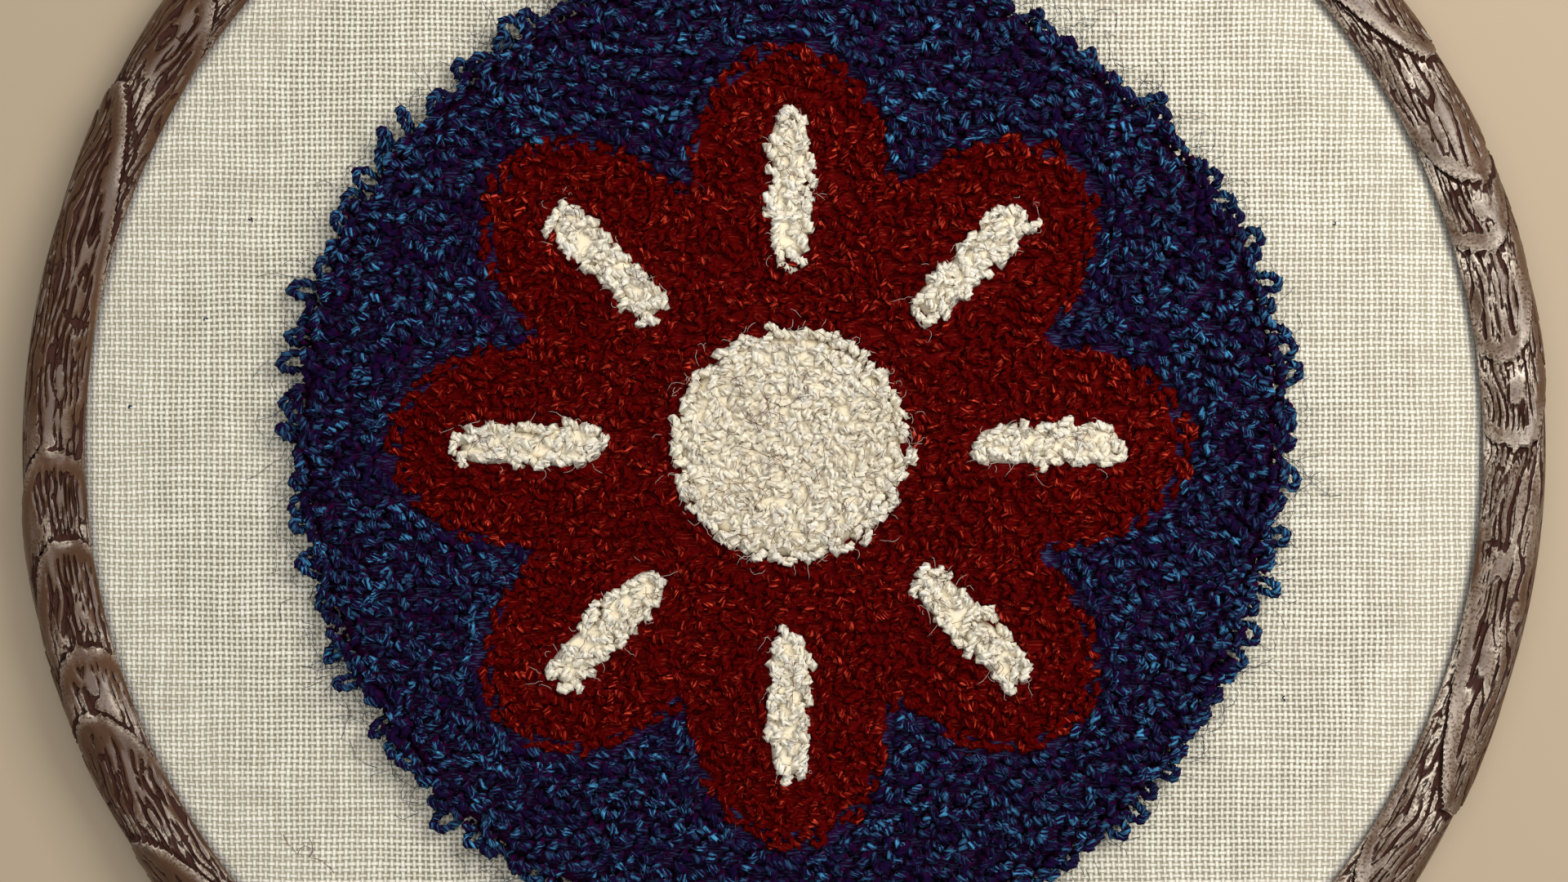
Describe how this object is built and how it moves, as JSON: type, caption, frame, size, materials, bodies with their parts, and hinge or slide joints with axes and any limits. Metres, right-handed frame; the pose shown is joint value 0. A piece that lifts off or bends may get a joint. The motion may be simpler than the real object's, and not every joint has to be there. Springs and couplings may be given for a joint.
{
  "type": "punch needle wall piece in a round wood-look embroidery hoop",
  "caption": "Looped wool punch needle flower on a round ground, worked on a sheet of cloth that is stretched in a round wood-look hoop lying on its back.",
  "frame": {"origin": "centre of the round hoop, on the plane that the back of the hoop rests on", "axes": "+Z out of the stitched face, +Y towards the top of the design, +X to its right"},
  "size_m": [0.1654, 0.1654, 0.0117],
  "materials": {
    "vinyl_bark": "soft vinyl moulded as bark, darker in its grooves, semi-gloss",
    "ring_plastic": "plain moulded, matte",
    "cotton_cloth": "even plain weave, cream",
    "wool_blue": "looped two-ply wool, deep blue",
    "wool_red": "looped two-ply wool, deep red",
    "wool_white": "looped two-ply wool, off-white"
  },
  "bodies": {
    "root": {"hoop_outer": "vinyl_bark", "hoop_inner": "ring_plastic", "ground_cloth": "cotton_cloth", "pile_blue_ground": "wool_blue", "pile_red_flower": "wool_red", "pile_white_centre": "wool_white", "pile_white_bar_1": "wool_white", "pile_white_bar_2": "wool_white", "pile_white_bar_3": "wool_white", "pile_white_bar_4": "wool_white", "pile_white_bar_5": "wool_white", "pile_white_bar_6": "wool_white", "pile_white_bar_7": "wool_white", "pile_white_bar_8": "wool_white"}
  },
  "joints": []
}
